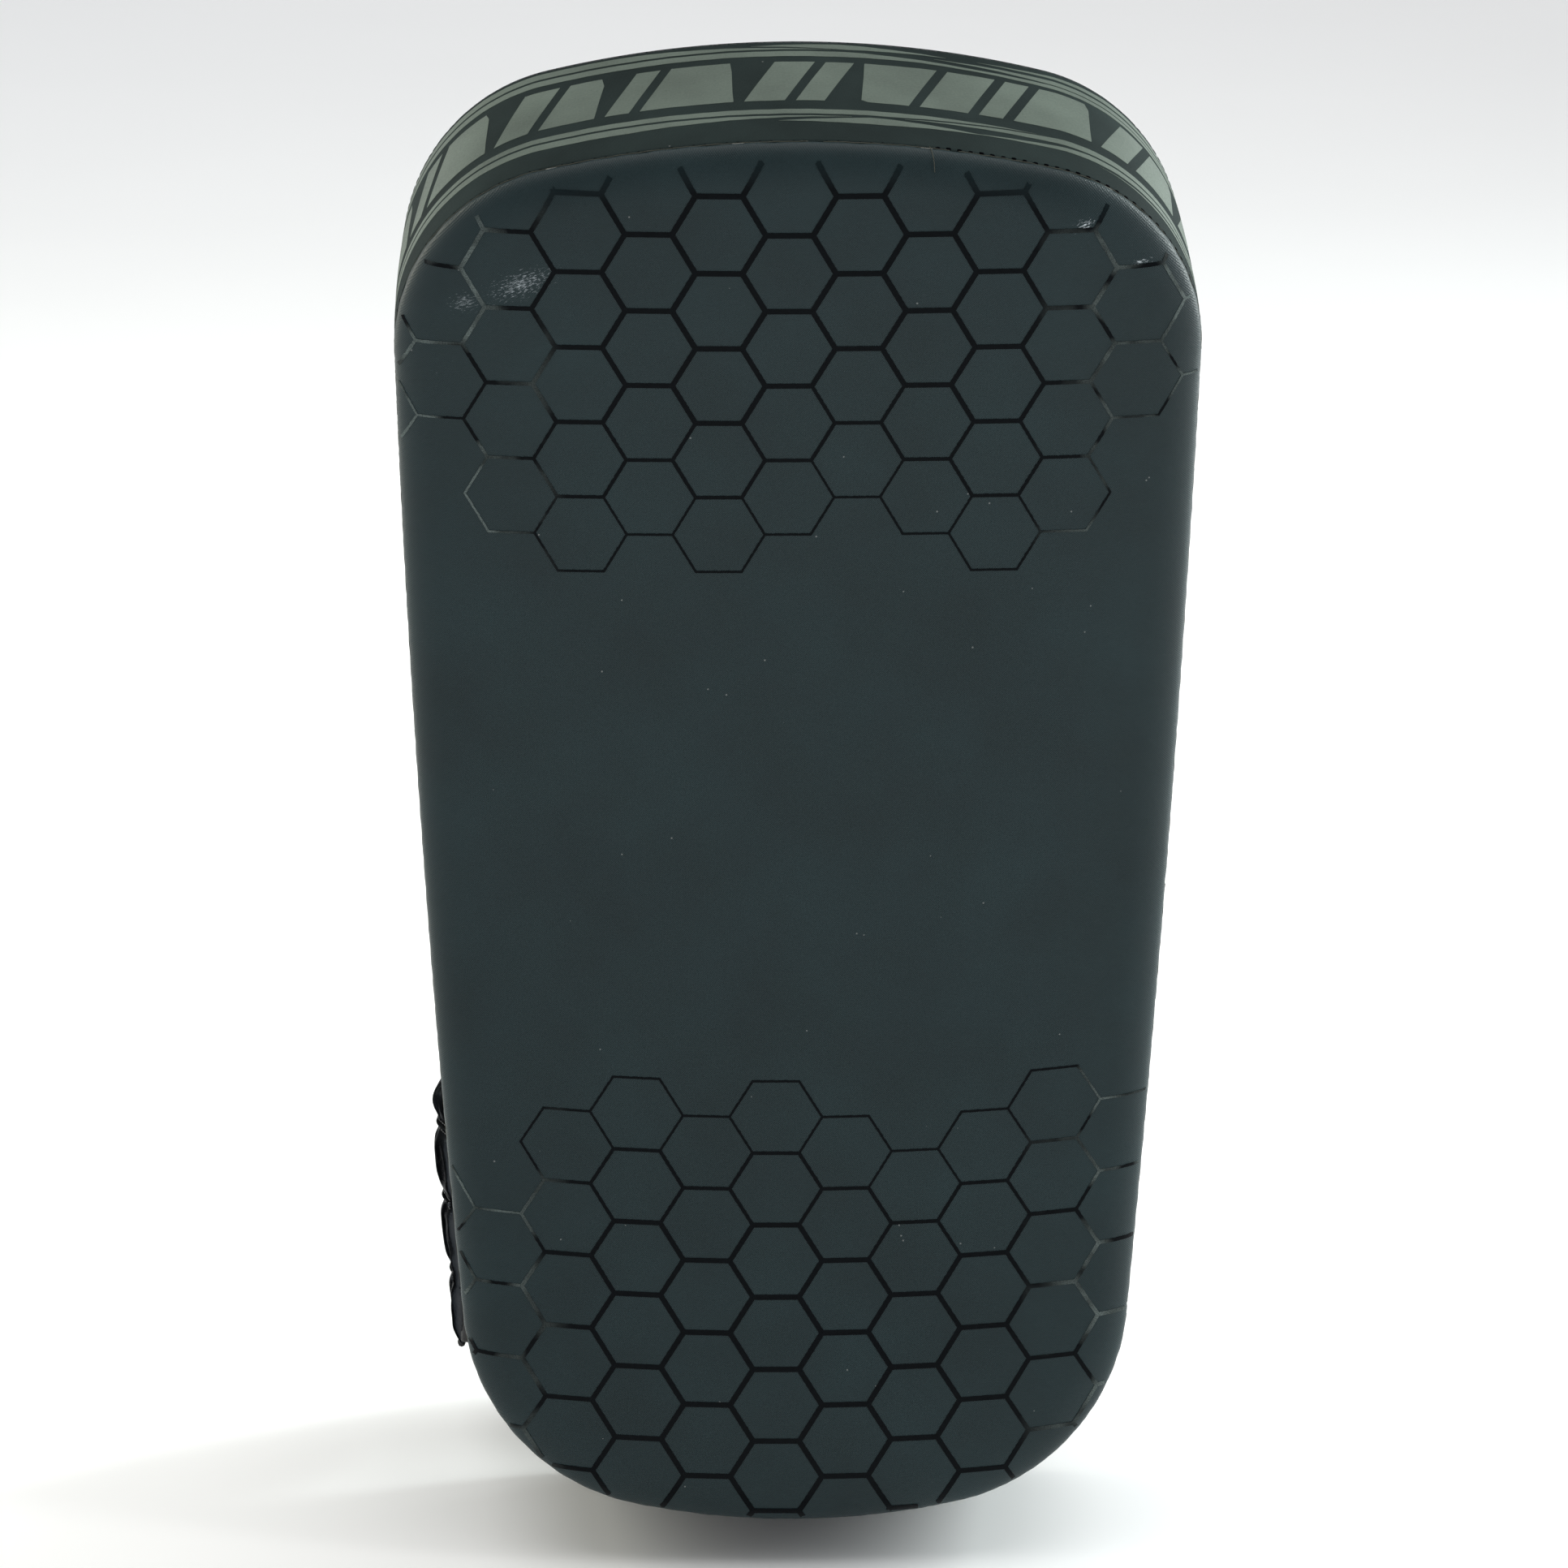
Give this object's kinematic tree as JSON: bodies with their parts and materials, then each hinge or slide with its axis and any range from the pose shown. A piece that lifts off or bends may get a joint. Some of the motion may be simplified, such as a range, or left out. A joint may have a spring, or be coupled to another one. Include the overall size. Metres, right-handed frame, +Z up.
{
  "type": "kick shield",
  "caption": "Curved rectangular kick shield of layered foam in a sewn cover, with forearm cuff, forearm strap, padded grip and grab handle on its back.",
  "frame": {"origin": "the middle of the main grip, where a hand carries the shield", "axes": "+Z up along the shield, towards its wide end; -Y is the way the strike face looks; +X is to the right as the strike face is seen"},
  "size_m": [0.3982, 0.2964, 0.7829],
  "materials": {
    "cover_pu": "matte PU with a fine grain, glossy black hexagon lines on the strike face",
    "printed_pu": "matte PU with a satin grey-green print of stripes and shards",
    "gloss_vinyl": "glossy vinyl",
    "quilted_vinyl": "glossy vinyl quilted over foam, with sewn channels",
    "air_mesh": "knitted spacer mesh",
    "hook_and_loop": "hook-and-loop tape",
    "webbing": "woven nylon webbing",
    "dark_metal": "gunmetal plated steel",
    "soft_foam": "open-cell soft foam",
    "firm_foam": "closed-cell firm foam",
    "backing_foam": "closed-cell backing foam",
    "thread": "bonded nylon sewing thread"
  },
  "bodies": {
    "shield": {"front_cover": "cover_pu", "top_gusset": "printed_pu", "right_gusset": "cover_pu", "bottom_gusset": "cover_pu", "left_gusset": "cover_pu", "back_panel": "cover_pu", "strike_foam": "soft_foam", "impact_foam": "firm_foam", "backing_foam": "backing_foam", "vent_eyelets": "dark_metal", "forearm_cushion": "air_mesh", "lower_cuff_base": "gloss_vinyl", "lower_cuff_anchor": "gloss_vinyl", "upper_strap_base": "gloss_vinyl", "upper_strap_anchor": "gloss_vinyl", "grip_tabs": "webbing", "grip_patches": "gloss_vinyl", "grip_rivets": "dark_metal", "grip_washers": "dark_metal", "grab_tabs": "webbing", "grab_patches": "gloss_vinyl", "grab_rivets": "dark_metal", "grab_washers": "dark_metal"},
    "lower_pad": {"lower_cuff_pad": "quilted_vinyl", "lower_cuff_loop_tape": "hook_and_loop"},
    "lower_flap": {"lower_cuff_flap": "gloss_vinyl", "lower_cuff_hook_tape": "hook_and_loop"},
    "upper_pad": {"upper_strap_pad": "quilted_vinyl", "upper_strap_loop_tape": "hook_and_loop"},
    "upper_flap": {"upper_strap_flap": "gloss_vinyl", "upper_strap_hook_tape": "hook_and_loop"},
    "main_grip": {"grip_webbing": "webbing", "grip_sleeve": "gloss_vinyl"},
    "grab_handle": {"grab_webbing": "webbing"}
  },
  "joints": [
    {"name": "lower_flap_hinge", "type": "hinge", "parent": "shield", "child": "lower_flap", "pos_m": [0.13917, -0.05955, -0.37222], "axis": [0, -0.1356, -0.9908], "range_deg": [0, 95]},
    {"name": "lower_pad_hinge", "type": "hinge", "parent": "shield", "child": "lower_pad", "pos_m": [-0.1748, -0.05991, -0.37217], "axis": [0, 0.1356, 0.9908], "range_deg": [0, 28.5]},
    {"name": "upper_flap_hinge", "type": "hinge", "parent": "shield", "child": "upper_flap", "pos_m": [0.15117, -0.04332, -0.1835], "axis": [0, -0.0356, -0.9994], "range_deg": [0, 95]},
    {"name": "upper_pad_hinge", "type": "hinge", "parent": "shield", "child": "upper_pad", "pos_m": [-0.1628, -0.04369, -0.18349], "axis": [0, 0.0356, 0.9994], "range_deg": [0, 28.5]},
    {"name": "grip_swing", "type": "hinge", "parent": "shield", "child": "main_grip", "pos_m": [0, -0.03154, -0.0019], "axis": [1, 0, 0], "range_deg": [-30, 30]},
    {"name": "grab_swing", "type": "hinge", "parent": "shield", "child": "grab_handle", "pos_m": [0, -0.04054, 0.14096], "axis": [1, 0, 0], "range_deg": [-30, 30]}
  ],
  "couplings": [
    {"joint": "lower_pad_hinge", "follows": "lower_flap_hinge", "ratio": 0.3},
    {"joint": "upper_pad_hinge", "follows": "upper_flap_hinge", "ratio": 0.3}
  ]
}
